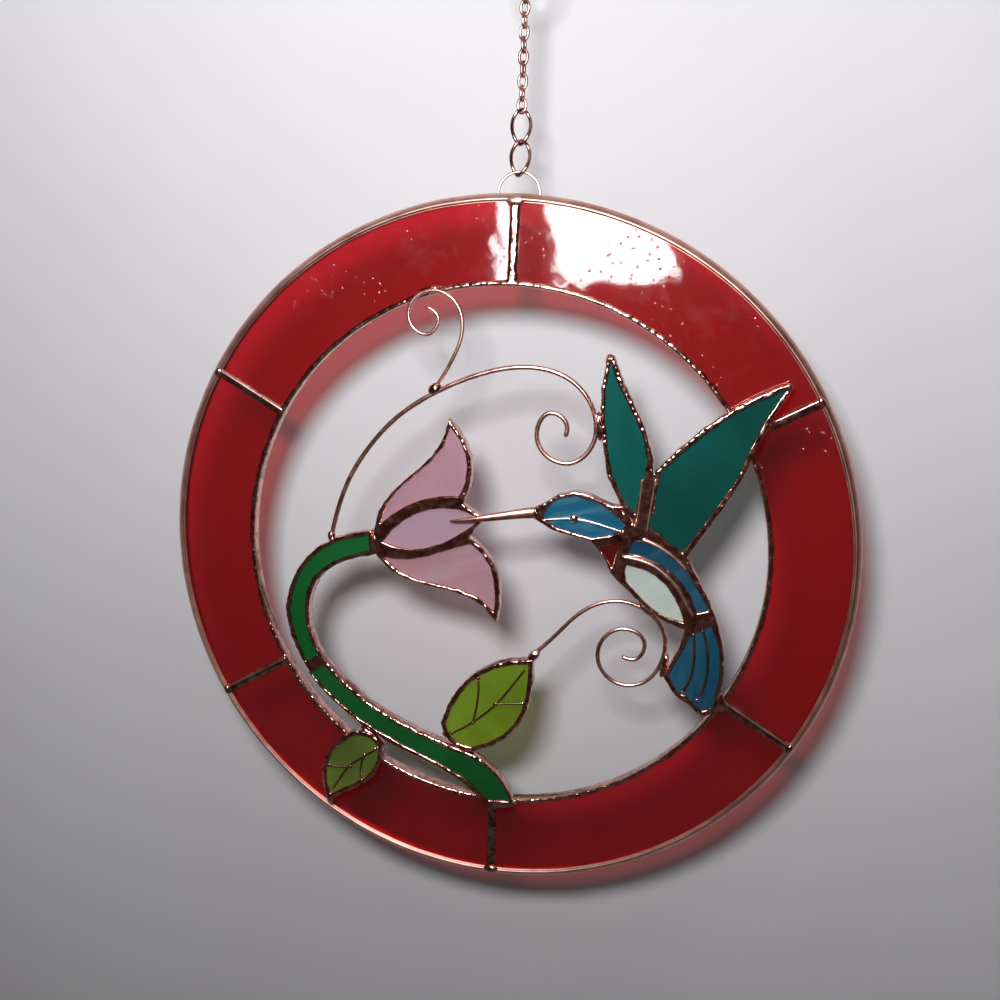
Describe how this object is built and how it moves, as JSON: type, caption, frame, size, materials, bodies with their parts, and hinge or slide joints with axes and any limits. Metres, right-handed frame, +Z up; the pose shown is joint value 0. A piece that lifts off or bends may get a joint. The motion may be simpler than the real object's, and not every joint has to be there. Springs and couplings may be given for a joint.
{
  "type": "stained glass suncatcher",
  "caption": "Round stained glass suncatcher: a ring of red glass in copper came around a hummingbird at a flower, with leaves and wire scrolls, hung by a loop, twisted links and a fine chain.",
  "frame": {"origin": "the inside top of the small hanging ring at the end of the chain, where the ornament rests on its hook", "axes": "+Z up along the chain, -Y out of the face of the panel towards the viewer, +X to the viewer's right"},
  "size_m": [0.23, 0.0145, 0.3019],
  "materials": {
    "copper_came": "copper, lightly polished",
    "copper_solder": "copper patina on solder, satin, uneven",
    "bright_wire": "tinned wire and solder, bright",
    "red_glass": "polished cathedral glass",
    "pink_glass": "pearly opalescent glass",
    "green_glass": "streaky glass",
    "lime_glass": "streaky glass",
    "teal_glass": "streaky glass",
    "blue_glass": "streaky glass",
    "white_glass": "opalescent glass"
  },
  "bodies": {
    "root": {"rim_came": "copper_came", "beak": "copper_came", "scroll_main": "copper_came", "scroll_upper": "copper_came", "scroll_lower": "copper_came", "long_link_1": "copper_came", "long_link_2": "copper_came", "fine_link_01": "copper_came", "fine_link_02": "copper_came", "fine_link_03": "copper_came", "fine_link_04": "copper_came", "fine_link_05": "copper_came", "fine_link_06": "copper_came", "fine_link_07": "copper_came", "fine_link_08": "copper_came", "fine_link_09": "copper_came", "fine_link_10": "copper_came", "hanging_ring": "copper_came", "ring_solder": "copper_solder", "flower_solder": "copper_solder", "stem_solder": "copper_solder", "leaf_large_solder": "copper_solder", "leaf_large_veins": "copper_solder", "leaf_small_solder": "copper_solder", "leaf_small_veins": "copper_solder", "bird_solder": "copper_solder", "tail_feather_wire_1": "copper_solder", "tail_feather_wire_2": "copper_solder", "head_wire_and_eye": "bright_wire", "top_loop": "bright_wire", "ring_glass_1": "red_glass", "ring_glass_2": "red_glass", "ring_glass_3": "red_glass", "ring_glass_4": "red_glass", "ring_glass_5": "red_glass", "ring_glass_6": "red_glass", "bird_throat": "red_glass", "petal_upper": "pink_glass", "petal_middle": "pink_glass", "petal_lower": "pink_glass", "stem_glass_upper": "green_glass", "stem_glass_lower": "green_glass", "leaf_large_glass": "lime_glass", "leaf_small_glass": "lime_glass", "wing_left": "teal_glass", "wing_right": "teal_glass", "bird_head": "blue_glass", "bird_back": "blue_glass", "bird_tail": "blue_glass", "bird_belly": "white_glass"}
  },
  "joints": []
}
